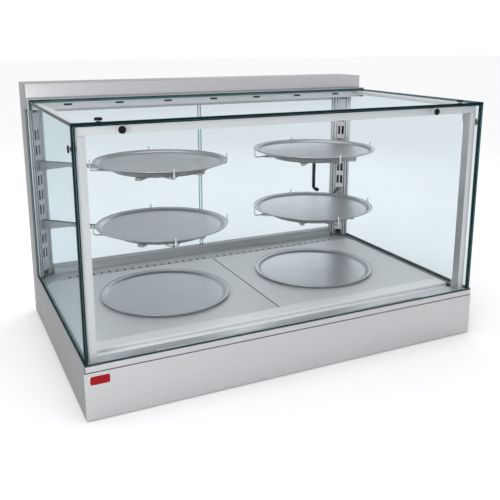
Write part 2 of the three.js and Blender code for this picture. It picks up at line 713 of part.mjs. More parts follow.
function makeWaterDrawer() {
  const box = cut(block(-515, -305, 190, 371.5, 42, 100), block(-513, -307, 192, 369.5, 44, 110));
  const front = block(-530, -290, REAR_FACE + GAP, REAR_FACE + 2.3, 31, 114);
  const neck = block(-515, -305, 371, REAR_FACE + 1, 42, 100);
  const pull = block(-460, -360, REAR_FACE + 2, HALF_D, 108, 114);
  return join(box, neck, front, pull);
}

const PANEL_X = [262, 498];
const PANEL_Z = [30, 110];
const SWITCH_X = 455;
const BUTTON_X = [330, 365];
const CONTROL_Z = 70;
const INLET_X = 410;
const INLET_HALF_X = 14;
const INLET_HALF_Z = 11;
const INLET_DEPTH = 20;
const INLET_WALL = 2;
const ROCKER_HOLE_X = 10.5;
const ROCKER_HOLE_Z = 14.5;
const BUTTON_RADIUS = 7;

// A rectangle in the outline plane of a plate that faces Y, centred on (x, CONTROL_Z).
function plateRectangle(x, halfX, halfZ) {
  return outline([
    [CONTROL_Z - halfZ, x - halfX], [CONTROL_Z - halfZ, x + halfX],
    [CONTROL_Z + halfZ, x + halfX], [CONTROL_Z + halfZ, x - halfX],
  ]);
}

// Cover plate with holes for the rocker and the buttons, and a moulded socket for a power lead.
function makeControlPanel() {
  const [left, right] = PANEL_X;
  const [low, high] = PANEL_Z;
  const plate = outline([[low, left], [high, left], [high, right], [low, right]]);
  plate.holes.push(plateRectangle(SWITCH_X, ROCKER_HOLE_X, ROCKER_HOLE_Z));
  BUTTON_X.forEach((x) => plate.holes.push(roundHole(CONTROL_Z, x, BUTTON_RADIUS + 0.4)));
  const front = REAR_FACE + GAP;
  const box = plateRectangle(INLET_X, INLET_HALF_X + INLET_WALL, INLET_HALF_Z + INLET_WALL);
  const hollow = plateRectangle(INLET_X, INLET_HALF_X, INLET_HALF_Z);
  return cut(
    join(prismY(plate, front, REAR_FACE + 2, 5), prismY(box, REAR_FACE - INLET_DEPTH, front + 0.5)),
    prismY(hollow, REAR_FACE - INLET_DEPTH + INLET_WALL, HALF_D),
  );
}

function makeSwitch() {
  const rocker = outline([
    [REAR_FACE - 9, CONTROL_Z - 8], [REAR_FACE + 3.8, CONTROL_Z - 12.8], [REAR_FACE + 2.6, CONTROL_Z],
    [REAR_FACE + 3.8, CONTROL_Z + 12.8], [REAR_FACE - 9, CONTROL_Z + 8],
  ]);
  return prismX(rocker, SWITCH_X - 9.8, SWITCH_X + 9.8);
}

function makeButton(x) {
  const r = BUTTON_RADIUS;
  const button = turned([[0, 0], [r, 0], [r, 11], [r - 1, 11.7], [0, 11.7]], 16);
  return button.rotateX(-Math.PI / 2).translate(x, REAR_FACE - 8, CONTROL_Z);
}

add('blower_housing', makeBlowerHousing(), 'galvanised');
add('blower_wheel', makeBlowerWheel(), 'black_plastic');
add('heating_element', makeHeatingElement(), 'galvanised');
add('water_drawer', makeWaterDrawer(), 'satin_steel');
add('control_panel', makeControlPanel(), 'black_plastic');
add('power_switch', makeSwitch(), 'black_plastic');
add('temperature_down_button', makeButton(BUTTON_X[0]), 'black_plastic');
add('temperature_up_button', makeButton(BUTTON_X[1]), 'black_plastic');

export default group;
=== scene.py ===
import json
import math

import bmesh
import bpy
from mathutils import Matrix, Vector


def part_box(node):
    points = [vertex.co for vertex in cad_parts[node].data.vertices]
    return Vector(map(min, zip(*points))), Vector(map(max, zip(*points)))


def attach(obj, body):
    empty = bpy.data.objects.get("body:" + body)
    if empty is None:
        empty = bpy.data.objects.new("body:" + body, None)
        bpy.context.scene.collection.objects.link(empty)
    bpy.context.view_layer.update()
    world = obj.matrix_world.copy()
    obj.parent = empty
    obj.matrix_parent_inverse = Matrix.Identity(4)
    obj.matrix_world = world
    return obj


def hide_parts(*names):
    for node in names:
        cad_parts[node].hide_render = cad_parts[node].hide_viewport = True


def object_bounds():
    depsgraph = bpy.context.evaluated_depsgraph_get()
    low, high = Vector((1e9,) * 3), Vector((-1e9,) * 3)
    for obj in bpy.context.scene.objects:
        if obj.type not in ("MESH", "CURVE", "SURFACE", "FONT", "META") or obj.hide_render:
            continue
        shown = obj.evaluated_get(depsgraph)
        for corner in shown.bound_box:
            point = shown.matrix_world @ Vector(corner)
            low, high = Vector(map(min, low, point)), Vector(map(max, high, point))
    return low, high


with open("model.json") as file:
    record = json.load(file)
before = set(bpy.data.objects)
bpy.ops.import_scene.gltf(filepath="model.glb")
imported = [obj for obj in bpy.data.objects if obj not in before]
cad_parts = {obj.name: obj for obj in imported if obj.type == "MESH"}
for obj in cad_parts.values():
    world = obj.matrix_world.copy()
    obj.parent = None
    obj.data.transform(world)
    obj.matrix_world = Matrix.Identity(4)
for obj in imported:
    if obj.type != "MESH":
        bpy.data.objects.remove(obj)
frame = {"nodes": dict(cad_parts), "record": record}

# A countertop heated display case. Metres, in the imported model's frame: +X is the long side,
# the customer's side is -Y, and the sliding doors are at +Y.

MM = 0.001
cad_low, cad_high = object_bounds()
node_body = {node: body for body, nodes in frame["record"]["behaviour"]["bodies"].items() for node in nodes}


# --- Camera, light and floor ----------------------------------------------------------------

def make_camera():
    data = bpy.data.cameras.new("camera")
    data.lens = 48.67
    data.shift_y = -0.10
    camera = bpy.data.objects.new("camera", data)
    bpy.context.scene.collection.objects.link(camera)
    camera.location = (-0.8478, -1.8122, 0.8658)
    yaw, pitch = math.radians(25.7), math.radians(13.3)
    camera.rotation_euler = (math.pi / 2 - pitch, 0, -yaw)
    bpy.context.scene.camera = camera


def area_light(name, location, target, size, watts):
    data = bpy.data.lights.new(name, "AREA")
    data.shape = "RECTANGLE"
    data.size, data.size_y = size
    data.energy = watts
    light = bpy.data.objects.new(name, data)
    bpy.context.scene.collection.objects.link(light)
    light.location = location
    light.rotation_euler = (Vector(target) - Vector(location)).to_track_quat("-Z", "Y").to_euler()


def make_studio():
    """A near-white room that falls off to grey towards the front right, and three soft lamps."""
    bpy.context.scene.view_settings.view_transform = "Standard"
    world = bpy.data.worlds.new("studio")
    bpy.context.scene.world = world
    world.use_nodes = True
    tree = world.node_tree
    background = tree.nodes["Background"]
    background.inputs["Strength"].default_value = 1.05
    source = tree.nodes.new("ShaderNodeTexCoord")
    towards = tree.nodes.new("ShaderNodeVectorMath")
    towards.operation = "DOT_PRODUCT"
    towards.inputs[1].default_value = (0.72, -0.69, 0.0)
    tree.links.new(source.outputs["Generated"], towards.inputs[0])
    shade = blend_colour(tree, towards.outputs["Value"], (1.0, 1.0, 1.0), (0.78, 0.785, 0.80), (0.1, 0.95))
    tree.links.new(shade, background.inputs["Color"])
    area_light("key", (-2.3, -2.5, 1.2), (-0.2, -0.3, 0.2), (1.4, 1.0), 32)
    area_light("top", (-0.2, 0.1, 2.6), (0, 0, 0.3), (2.2, 1.6), 10)
    area_light("rim", (1.6, 2.6, 1.8), (0, 0, 0.4), (1.6, 1.2), 8)
    bpy.ops.mesh.primitive_plane_add(size=60)
    floor = bpy.context.object
    floor.name = "floor"
    material, tree, shader = new_material("pale_floor")
    shader.inputs["Roughness"].default_value = 0.8
    mottle = noise(tree, coordinates(tree), 3.0, 2)
    link(tree, blend_colour(tree, mottle, (0.93, 0.93, 0.935), (0.95, 0.95, 0.955)), shader, "Base Color")
    floor.data.materials.append(material)


# --- Material building blocks ---------------------------------------------------------------

def new_material(name):
    material = bpy.data.materials.new(name)
    material.use_nodes = True
    return material, material.node_tree, material.node_tree.nodes["Principled BSDF"]


def link(tree, socket, node, name):
    tree.links.new(socket, node.inputs[name])


def coordinates(tree, stretch=(1, 1, 1)):
    source = tree.nodes.new("ShaderNodeTexCoord")
    mapping = tree.nodes.new("ShaderNodeMapping")
    mapping.inputs["Scale"].default_value = stretch
    tree.links.new(source.outputs["Object"], mapping.inputs["Vector"])
    return mapping.outputs["Vector"]


def noise(tree, vector, scale, detail=3, roughness=0.5):
    node = tree.nodes.new("ShaderNodeTexNoise")
    node.inputs["Scale"].default_value = scale
    node.inputs["Detail"].default_value = detail
    node.inputs["Roughness"].default_value = roughness
    tree.links.new(vector, node.inputs["Vector"])
    return node.outputs["Fac"]


def between(tree, value, low, high, span=(0.3, 0.7)):
    node = tree.nodes.new("ShaderNodeMapRange")
    node.inputs["From Min"].default_value, node.inputs["From Max"].default_value = span
    node.inputs["To Min"].default_value, node.inputs["To Max"].default_value = low, high
    tree.links.new(value, node.inputs["Value"])
    return node.outputs["Result"]


def blend_colour(tree, value, first, second, span=(0.3, 0.7)):
    node = tree.nodes.new("ShaderNodeMix")
    node.data_type = "RGBA"
    node.inputs["A"].default_value = (*first, 1)
    node.inputs["B"].default_value = (*second, 1)
    tree.links.new(between(tree, value, 0, 1, span), node.inputs["Factor"])
    return node.outputs["Result"]


def add_bump(tree, shader, height, strength, distance):
    node = tree.nodes.new("ShaderNodeBump")
    node.inputs["Strength"].default_value = strength
    node.inputs["Distance"].default_value = distance
    tree.links.new(height, node.inputs["Height"])
    tree.links.new(node.outputs["Normal"], shader.inputs["Normal"])


def metal(name, dark, light, roughness, metallic, grain, grain_scale, bump=0.25, specular=0.5):
    """Satin metal. grain stretches the fine noise: a small number on an axis draws streaks along it."""
    material, tree, shader = new_material(name)
    shader.inputs["Metallic"].default_value = metallic
    shader.inputs["Specular IOR Level"].default_value = specular
    fine = noise(tree, coordinates(tree, grain), grain_scale, 2)
    smudge = noise(tree, coordinates(tree), 5.0, 4)
    colour = blend_colour(tree, fine, dark, light)
    link(tree, colour, shader, "Base Color")
    both = tree.nodes.new("ShaderNodeMath")
    both.operation = "ADD"
    tree.links.new(between(tree, fine, -0.04, 0.04), both.inputs[0])
    tree.links.new(between(tree, smudge, roughness - 0.03, roughness + 0.03), both.inputs[1])
    link(tree, both.outputs["Value"], shader, "Roughness")
    add_bump(tree, shader, fine, bump, 0.00006)
    return material


def plastic(name, dark, light, roughness, grain_scale=900, bump=0.3, specular=0.5):
    material, tree, shader = new_material(name)
    shader.inputs["Specular IOR Level"].default_value = specular
    fine = noise(tree, coordinates(tree), grain_scale, 2)
    broad = noise(tree, coordinates(tree), 12, 3)
    link(tree, blend_colour(tree, broad, dark, light), shader, "Base Color")
    link(tree, between(tree, fine, roughness - 0.06, roughness + 0.06), shader, "Roughness")
    add_bump(tree, shader, fine, bump, 0.0001)
    return material


def make_zinc():
    material, tree, shader = new_material("zinc_spangle")
    cells = tree.nodes.new("ShaderNodeTexVoronoi")
    cells.inputs["Scale"].default_value = 90
    tree.links.new(coordinates(tree), cells.inputs["Vector"])
    shader.inputs["Metallic"].default_value = 0.8
    link(tree, blend_colour(tree, cells.outputs["Color"], (0.34, 0.35, 0.36), (0.52, 0.53, 0.54), (0, 1)),
         shader, "Base Color")
    link(tree, between(tree, cells.outputs["Color"], 0.4, 0.6, (0, 1)), shader, "Roughness")
    return material


def make_spun_aluminium():
    """Turned metal with fine rings round the piece's own Z axis."""
    material, tree, shader = new_material("spun_aluminium")
    rings = tree.nodes.new("ShaderNodeTexWave")
    rings.wave_type = "RINGS"
    rings.rings_direction = "Z"
    rings.inputs["Scale"].default_value = 60
    rings.inputs["Distortion"].default_value = 0.3
    tree.links.new(coordinates(tree), rings.inputs["Vector"])
    worn = noise(tree, coordinates(tree), 14, 3)
    shader.inputs["Metallic"].default_value = 0.9
    link(tree, blend_colour(tree, rings.outputs["Fac"], (0.36, 0.365, 0.38), (0.43, 0.435, 0.45), (0, 1)),
         shader, "Base Color")
    link(tree, between(tree, worn, 0.30, 0.38), shader, "Roughness")
    add_bump(tree, shader, rings.outputs["Fac"], 0.08, 0.00005)
    return material


def make_clear_glass(name, tint):
    """Thin float glass: it passes light straight through with a faint tint, and mirrors by Fresnel."""
    material, tree, shader = new_material(name)
    tree.nodes.remove(shader)
    clear = tree.nodes.new("ShaderNodeBsdfTransparent")
    film = noise(tree, coordinates(tree), 4, 2)
    slightly = tuple(0.992 * c for c in tint)
    link(tree, blend_colour(tree, film, tint, slightly), clear, "Color")
    mirror = tree.nodes.new("ShaderNodeBsdfGlossy")
    mirror.inputs["Roughness"].default_value = 0.02
    mirror.inputs["Color"].default_value = (0.74, 0.84, 0.88, 1)
    facing = tree.nodes.new("ShaderNodeLayerWeight")
    facing.inputs["Blend"].default_value = 0.5
    glancing = tree.nodes.new("ShaderNodeMath")
    glancing.operation = "POWER"
    glancing.inputs[1].default_value = 5
    tree.links.new(facing.outputs["Facing"], glancing.inputs[0])
    mixed = tree.nodes.new("ShaderNodeMixShader")
    tree.links.new(between(tree, glancing.outputs["Value"], 0.008, 0.06, (0, 1)), mixed.inputs["Fac"])
    tree.links.new(clear.outputs["BSDF"], mixed.inputs[1])
    tree.links.new(mirror.outputs["BSDF"], mixed.inputs[2])
    tree.links.new(mixed.outputs["Shader"], tree.nodes["Material Output"].inputs["Surface"])
    return material


def make_glass_edge(name, deep, bright):
    """The polished edge of a pane, where the glass shows its green body colour."""
    material, tree, shader = new_material(name)
    along = noise(tree, coordinates(tree), 14, 3)
    link(tree, blend_colour(tree, along, deep, bright), shader, "Base Color")
    link(tree, between(tree, along, 0.2, 0.3), shader, "Roughness")
    shader.inputs["Specular IOR Level"].default_value = 0.03
    return material


# --- Shapes ---------------------------------------------------------------------------------

AXES = {"x": (1, 2, 0), "y": (2, 0, 1), "z": (0, 1, 2)}


def rounded(bm, width, segments=2, angle=25):
    if width > 0:
        sharp = [e for e in bm.edges if len(e.link_faces) == 2 and e.calc_face_angle(0) > math.radians(angle)]
        bmesh.ops.bevel(bm, geom=sharp, offset=width, offset_type="OFFSET", segments=segments,
                        profile=0.5, affect="EDGES", clamp_overlap=True)
    return bm


def prism(points, axis, start, end, width=0.0, segments=2):
    """A closed outline swept along an axis. Its two coordinates follow in turn: x gives y, z; y gives
    z, x."""
    first, second, along = AXES[axis]
    bm = bmesh.new()
    corners = []
    for a, b in points:
        place = [0.0, 0.0, 0.0]
        place[first], place[second], place[along] = a, b, start
        corners.append(bm.verts.new(place))
    face = bm.faces.new(corners)
    moved = bmesh.ops.extrude_face_region(bm, geom=[face])["geom"]
    shift = Vector((0, 0, 0))
    shift[along] = end - start
    bmesh.ops.translate(bm, vec=shift, verts=[v for v in moved if isinstance(v, bmesh.types.BMVert)])
    bmesh.ops.recalc_face_normals(bm, faces=bm.faces)
    return rounded(bm, width, segments)


def slab(low, high, width=0.0, segments=2):
    corners = [(low[0], low[1]), (high[0], low[1]), (high[0], high[1]), (low[0], high[1])]
    return prism(corners, "z", low[2], high[2], width, segments)


def turned(profile, steps=64):
    """A closed solid from (radius, height) points turned about Z; points at radius 0 are on the axis."""
    bm = bmesh.new()
    rings = []
    for radius, height in profile:
        if radius < 1e-7:
            rings.append([bm.verts.new((0, 0, height))])
        else:
            angles = [2 * math.pi * i / steps for i in range(steps)]
            rings.append([bm.verts.new((radius * math.cos(a), radius * math.sin(a), height)) for a in angles])
    for lower, upper in zip(rings, rings[1:]):
        for i in range(steps):
            j = (i + 1) % steps
            if len(lower) == 1 and len(upper) == 1:
                continue
            if len(lower) == 1:
                bm.faces.new((lower[0], upper[j], upper[i]))
            elif len(upper) == 1:
                bm.faces.new((lower[i], lower[j], upper[0]))
            else:
                bm.faces.new((lower[i], lower[j], upper[j], upper[i]))
    if len(rings[0]) > 1 and profile[0] != profile[-1]:
        for i in range(steps):
            j = (i + 1) % steps
            bm.faces.new((rings[-1][i], rings[-1][j], rings[0][j], rings[0][i]))
    elif len(rings[0]) > 1:
        bmesh.ops.remove_doubles(bm, verts=rings[0] + rings[-1], dist=1e-7)
    bmesh.ops.recalc_face_normals(bm, faces=bm.faces)
    return bm


def smooth_path(points, radius, steps=6):
    """The points with each inner corner replaced by an arc that starts radius before it."""
    path = [Vector(points[0])]
    for before, corner, after in zip(points, points[1:], points[2:]):
        corner = Vector(corner)
        back = (Vector(before) - corner).normalized()
        on = (Vector(after) - corner).normalized()
        start, end = corner + back * radius, corner + on * radius
        for i in range(steps + 1):
            t = i / steps
            path.append(start * (1 - t) ** 2 + corner * (2 * t * (1 - t)) + end * t ** 2)
    path.append(Vector(points[-1]))
    return path


def swept(path, section):
    """A closed tube: section is a list of (side, up) points carried along the path, with flat ends."""
    bm = bmesh.new()
    normal = None
    rings = []
    for i, point in enumerate(path):
        ahead = path[min(i + 1, len(path) - 1)] - path[max(i - 1, 0)]
        ahead.normalize()
        if normal is None:
            normal = ahead.orthogonal().normalized()
            if abs(ahead.z) < 0.9:
                normal = (Vector((0, 0, 1)) - ahead * ahead.z).normalized()
        normal = (normal - ahead * normal.dot(ahead)).normalized()
        side = ahead.cross(normal)
        rings.append([bm.verts.new(point + side * a + normal * b) for a, b in section])
    count = len(section)
    for lower, upper in zip(rings, rings[1:]):
        for i in range(count):
            j = (i + 1) % count
            bm.faces.new((lower[i], lower[j], upper[j], upper[i]))
    bm.faces.new(list(reversed(rings[0])))
    bm.faces.new(rings[-1])
    bmesh.ops.recalc_face_normals(bm, faces=bm.faces)
    return bm


def round_section(radius, sides=12):
    return [(radius * math.cos(2 * math.pi * i / sides), radius * math.sin(2 * math.pi * i / sides))
            for i in range(sides)]


def rounded_rectangle(half_a, half_b, radius, steps=6):
    points = []
    for quarter, (sa, sb) in enumerate(((1, 1), (-1, 1), (-1, -1), (1, -1))):
        for i in range(steps + 1):
            angle = math.pi / 2 * (quarter + i / steps)
            points.append((sa * (half_a - radius) + radius * math.cos(angle),
                           sb * (half_b - radius) + radius * math.sin(angle)))
    return points


def placed(bm, matrix):
    bmesh.ops.transform(bm, matrix=matrix, verts=bm.verts)
    return bm


def joined(*parts):
    """Several closed bodies in one mesh."""
    whole = bmesh.new()
    for part in parts:
        mesh = bpy.data.meshes.new("part")
        part.to_mesh(mesh)
        part.free()
        whole.from_mesh(mesh)
        bpy.data.meshes.remove(mesh)
    return whole


def minus(body, *tools):
    """body with the tools cut out of it."""
    main = plain_object("cut_body", body)
    for number, tool in enumerate(tools):
        cutter = plain_object(f"cutter_{number}", tool)
        modifier = main.modifiers.new("cut", "BOOLEAN")
        modifier.operation = "DIFFERENCE"
        modifier.solver = "EXACT"
        modifier.object = cutter
    bpy.context.view_layer.update()
    evaluated = main.evaluated_get(bpy.context.evaluated_depsgraph_get())
    result = bmesh.new()
    result.from_mesh(evaluated.to_mesh())
    evaluated.to_mesh_clear()
    for modifier in list(main.modifiers):
        bpy.data.objects.remove(modifier.object)
    bpy.data.objects.remove(main)
    return result


def plain_object(name, bm):
    mesh = bpy.data.meshes.new(name)
    bm.to_mesh(mesh)
    bm.free()
    made = bpy.data.objects.new(name, mesh)
    bpy.context.scene.collection.objects.link(made)
    return made


def piece(name, bm, materials, body, replaces=(), at=None):
    """A finished piece. at moves its origin, so that its material can be centred on it."""
    if at is not None:
        bmesh.ops.translate(bm, vec=-Vector(at), verts=bm.verts)
    made = plain_object(name, bm)
    made.location = at or (0, 0, 0)
    for material in materials if isinstance(materials, (list, tuple)) else [materials]:
        made.data.materials.append(material)
    for polygon in made.data.polygons:
        polygon.use_smooth = True
    made.data.set_sharp_from_angle(angle=math.radians(32))
    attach(made, body)
    if replaces:
        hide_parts(*replaces)
    return made


def clean_copy(node):
    """The CAD node's mesh with its flat faces whole again."""
    bm = bmesh.new()
    bm.from_mesh(frame["nodes"][node].data)
    bmesh.ops.remove_doubles(bm, verts=bm.verts, dist=1e-6)
    bmesh.ops.dissolve_limit(bm, angle_limit=math.radians(0.5), verts=bm.verts, edges=bm.edges)
    return bm


def dressed(node, material, width=0.6 * MM, segments=2, angle=25):
    """The CAD node's shape with its edges rounded, standing for the node."""
    bm = rounded(clean_copy(node), width, segments, angle)
    return piece(f"{node}_finished", bm, material, node_body[node], [node])


# --- Materials ------------------------------------------------------------------------------

STREAK = 0.05
FINE = 900
ALONG_X, ALONG_Y, ALONG_Z, EVEN = (STREAK, 1, 1), (1, STREAK, 1), (1, 1, STREAK), (1, 1, 1)
satin_steel = metal("satin_steel", (0.49, 0.495, 0.505), (0.56, 0.565, 0.575), 0.4, 0.8, ALONG_X, FINE)
# A darker, duller copy of the satin steel for the end faces of the base and of the hood: painted shade.
side_steel_painted_shade = metal("side_steel_painted_shade", (0.22, 0.225, 0.23), (0.27, 0.275, 0.28), 0.5, 0.5, ALONG_Y, FINE,
                   specular=0.2)
# A darker, duller copy of the steel for the top of the hood: painted shade.
hood_top_painted_shade = metal("hood_top_steel_painted_shade", (0.27, 0.275, 0.28), (0.33, 0.335, 0.34), 0.62, 0.25, ALONG_X, FINE,
                 bump=0.2, specular=0.1)
deck_steel = metal("deck_steel", (0.50, 0.505, 0.515), (0.70, 0.705, 0.715), 0.55, 0.4, EVEN, 1100)
riser_steel = metal("riser_steel", (0.33, 0.335, 0.34), (0.40, 0.405, 0.41), 0.5, 0.5, ALONG_X, FINE)
silver_frame = metal("silver_frame", (0.56, 0.56, 0.57), (0.63, 0.63, 0.64), 0.45, 0.4, EVEN, 1400)
ledge_steel = metal("ledge_steel", (0.68, 0.68, 0.69), (0.78, 0.78, 0.79), 0.5, 0.3, ALONG_X, FINE)
# The rear columns' own finish; on the side faces of the front posts it serves as painted shade.
column_silver_and_post_shade = metal("column_silver_and_post_shade", (0.36, 0.365, 0.375), (0.46, 0.465, 0.475), 0.32, 0.7, ALONG_Z, FINE)
bright_wire = metal("bright_wire", (0.62, 0.62, 0.63), (0.72, 0.72, 0.73), 0.22, 1.0, EVEN, 700)
pressed_steel = metal("pressed_steel", (0.30, 0.305, 0.31), (0.38, 0.385, 0.39), 0.42, 0.6, EVEN, FINE)
spun_aluminium = make_spun_aluminium()
zinc = make_zinc()
black_plastic = plastic("black_plastic", (0.006, 0.006, 0.007), (0.012, 0.012, 0.014), 0.45, specular=0.12)
# Near-black: the real column joints and deck gasket, and the painted shade in the air slots, vents and
# channels.
joint_black_and_painted_shade = plastic("joint_black_and_painted_shade", (0.004, 0.004, 0.005), (0.008, 0.008, 0.009), 0.9, 500, 0.2, 0.05)
foot_rubber = plastic("foot_rubber", (0.02, 0.02, 0.02), (0.04, 0.04, 0.04), 0.85, 500)
lamp_lens = plastic("lamp_lens", (0.78, 0.77, 0.72), (0.86, 0.85, 0.80), 0.5, 400)
nylon = plastic("nylon", (0.55, 0.56, 0.56), (0.66, 0.67, 0.67), 0.4, 600)
enamel = plastic("enamel", (0.26, 0.003, 0.006), (0.32, 0.004, 0.008), 0.4, 300, 0.05, 0.15)
clear_glass = make_clear_glass("clear_glass", (0.975, 0.985, 0.988))
side_glass = make_clear_glass("side_glass", (0.89, 0.925, 0.935))
door_glass = make_clear_glass("door_glass", (0.875, 0.91, 0.922))
glass_edge = make_glass_edge("glass_edge", (0.001, 0.012, 0.014), (0.002, 0.022, 0.024))
glass_edge_fine = make_glass_edge("glass_edge_fine", (0.04, 0.11, 0.115), (0.06, 0.15, 0.155))

make_camera()
make_studio()


# --- Small shared pieces --------------------------------------------------------------------

def facing(direction):
    """Turns a shape made along +Z so that it points along direction."""
    return Vector((0, 0, 1)).rotation_difference(Vector(direction)).to_matrix().to_4x4()


def screw_head(radius, height):
    """A domed head with a cross cut, standing on height 0 along +Z."""
    dome = [(0, 0), (radius, 0), (radius, 0.3 * height)]
    for i in range(1, 6):
        angle = math.pi / 2 * i / 5
        dome.append((radius * math.cos(angle), height * (0.3 + 0.7 * math.sin(angle))))
    dome[-1] = (0, height)
    arm, half = 0.62 * radius, 0.13 * radius
    low, high = 0.45 * height, 2 * height
    cross = [slab((-arm, -half, low), (arm, half, high)), slab((-half, -arm, low), (half, arm, high))]
    return minus(turned(dome, 24), *cross)


def screws(name, points, direction, body, material, radius=3.6 * MM):
    """One piece for a row of like screws, each at its point and pointing along direction."""
    pattern = plain_object("screw_pattern", screw_head(radius, 0.5 * radius))
    parts = []
    for point in points:
        copy = bmesh.new()
        copy.from_mesh(pattern.data)
        parts.append(placed(copy, Matrix.Translation(point) @ facing(direction)))
    bpy.data.objects.remove(pattern)
    return piece(name, joined(*parts), material, body)


# --- Base and deck --------------------------------------------------------------------------

for node in ("front_panel", "front_sill", "rear_panel"):
    dressed(node, satin_steel, 0.8 * MM, 3)
# The base's ends are painted darker: painted shade.
for node in ("side_panel_left", "side_panel_right"):
    dressed(node, side_steel_painted_shade, 0.8 * MM, 3)
dressed("front_ledge", ledge_steel, 0.9 * MM, 3)
for node in ("deck_left", "deck_right"):
    dressed(node, deck_steel, 0.9 * MM, 3)
dressed("rear_air_strip", riser_steel, 0.3 * MM, 2, 50)
dressed("base_tray", zinc, 0.4 * MM)
FEET = [f"foot_{end}_{side}" for end in ("front", "rear") for side in ("left", "right")]


def make_foot(node):
    low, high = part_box(node)
    centre, radius, top = (low + high) / 2, (high.x - low.x) / 2, high.z
    bead = 1.2 * MM
    groove = 0.8 * MM
    profile = [(0, 0), (0.55 * radius, 0), (0.6 * radius, groove), (0.7 * radius, groove)]
    profile += [(0.74 * radius, 0), (radius - bead, 0), (radius - 0.3 * bead, 0.3 * bead)]
    profile += [(radius, bead), (radius, top), (0, top)]
    body = placed(turned(profile, 48), Matrix.Translation((centre.x, centre.y, 0)))
    piece(f"{node}_pad", body, foot_rubber, node_body[node], [node])


for node in FEET:
    make_foot(node)


BADGE_X, BADGE_Z = -542 * MM, 103 * MM


def make_badge():
    """A plain enamel plate with a bright rim, and nothing on it."""
    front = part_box("front_panel")[0].y
    turn = Matrix.Translation((BADGE_X, front, BADGE_Z)) @ facing((0, -1, 0))
    rim = prism(rounded_rectangle(25 * MM, 12.5 * MM, 6 * MM), "z", 0, 1.3 * MM, 0.4 * MM, 3)
    field = prism(rounded_rectangle(23.4 * MM, 10.9 * MM, 5 * MM), "z", 1.0 * MM, 1.7 * MM, 0.3 * MM, 3)
    piece("badge_rim", placed(rim, turn), bright_wire, "case")
    piece("badge_field", placed(field, turn), enamel, "case")


make_badge()


INCH = 25.4 * MM
AIR_SLOT_ROW = 263.6 * MM
AIR_SLOTS_PER_SIDE = 19


def make_deck_gasket_and_slot_shade():
    """Dark sheets below the seam of the deck and below the air slots, and a dark plate in each slot; those at
    the air slots are painted shade.
    """
    front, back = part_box("deck_right")
    seam = slab((-0.65 * MM, front.y, front.z), (0.65 * MM, back.y, back.z - 0.2 * MM))
    bead = slab((-1.5 * MM, front.y + 1 * MM, back.z - 0.1 * MM),
                (1.5 * MM, back.y - 1 * MM, back.z + 0.15 * MM))
    piece("deck_seam_gasket", joined(seam, bead), joint_black_and_painted_shade, "case")
    strip_low, strip_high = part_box("rear_air_strip")
    # A near-black sheet under the air slots: painted shade.
    low = Vector((-0.49, back.y + 2 * MM, strip_low.z - 2.2 * MM))
    high = Vector((0.49, strip_high.y - 16 * MM, strip_low.z - 1.2 * MM))
    piece("air_plenum_painted_shade", slab(low, high), joint_black_and_painted_shade, "case")
    # A near-black plate in each air slot, just below its top: painted shade inside the holes.
    half_wide, half_long = 2.9 * MM, 7.2 * MM
    slot_shades = []
    for k in range(1, AIR_SLOTS_PER_SIDE + 1):
        for x in (-k * INCH, k * INCH):
            slot_shades.append(slab((x - half_wide, AIR_SLOT_ROW - half_long, strip_low.z + 0.2 * MM),
                                (x + half_wide, AIR_SLOT_ROW + half_long, strip_low.z + 2.3 * MM)))
    piece("air_slot_painted_shade", joined(*slot_shades), joint_black_and_painted_shade, "case")


make_deck_gasket_and_slot_shade()


# --- Glass box ------------------------------------------------------------------------------

def pane(node, thin, body, edge, arris=1.0 * MM):
    """A pane with its edges ground: its two large faces are clear, its edges show their colour."""
    bm = rounded(clean_copy(node), arris, 1, 60)
    bm.normal_update()
    for face in bm.faces:
        if abs(face.normal[thin]) < 0.99:
            face.material_index = 2 if face.normal.x > 0.5 or face.normal.y > 0.5 else 1
    return piece(f"{node}_pane", bm, [body, edge, glass_edge_fine], node_body[node], [node])


pane("front_glass", 1, clear_glass, glass_edge)
pane("top_glass", 2, clear_glass, glass_edge, 1.8 * MM)
pane("side_glass_left", 0, side_glass, glass_edge)
pane("side_glass_right", 0, side_glass, glass_edge)
pane("door_left", 1, door_glass, glass_edge_fine)
pane("door_right", 1, door_glass, glass_edge_fine)

for node in ("front_post_left", "front_post_right"):
    post = dressed(node, silver_frame, 0.7 * MM, 2)
    post.data.materials.append(column_silver_and_post_shade)
    # The posts' side faces take the darker column material, as painted shade; their front faces stay light.
    for face in post.data.polygons:
        face.material_index = 1 if abs(face.normal.x) > 0.9 else 0
for node in ("front_top_rail", "side_top_rail_left", "side_top_rail_right"):
    dressed(node, silver_frame, 0.7 * MM, 2)


def make_corner_seals():
    """Dark seal behind the front pane, down both corners and along the top."""
    low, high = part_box("front_glass")
    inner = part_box("side_glass_right")[0].x
    back, wide = high.y + 2.2 * MM, 3.6 * MM
    bars = [slab((-inner + 0.3 * MM, high.y + 0.2 * MM, high.z - wide), (inner - 0.3 * MM, back, high.z))]
    for side in (-1, 1):
        span = sorted((side * (inner - 0.3 * MM), side * (inner - wide)))
        bars.append(slab((span[0], high.y + 0.2 * MM, low.z), (span[1], back, high.z - wide)))
    piece("front_glass_seal", joined(*bars), glass_edge, "case")


make_corner_seals()


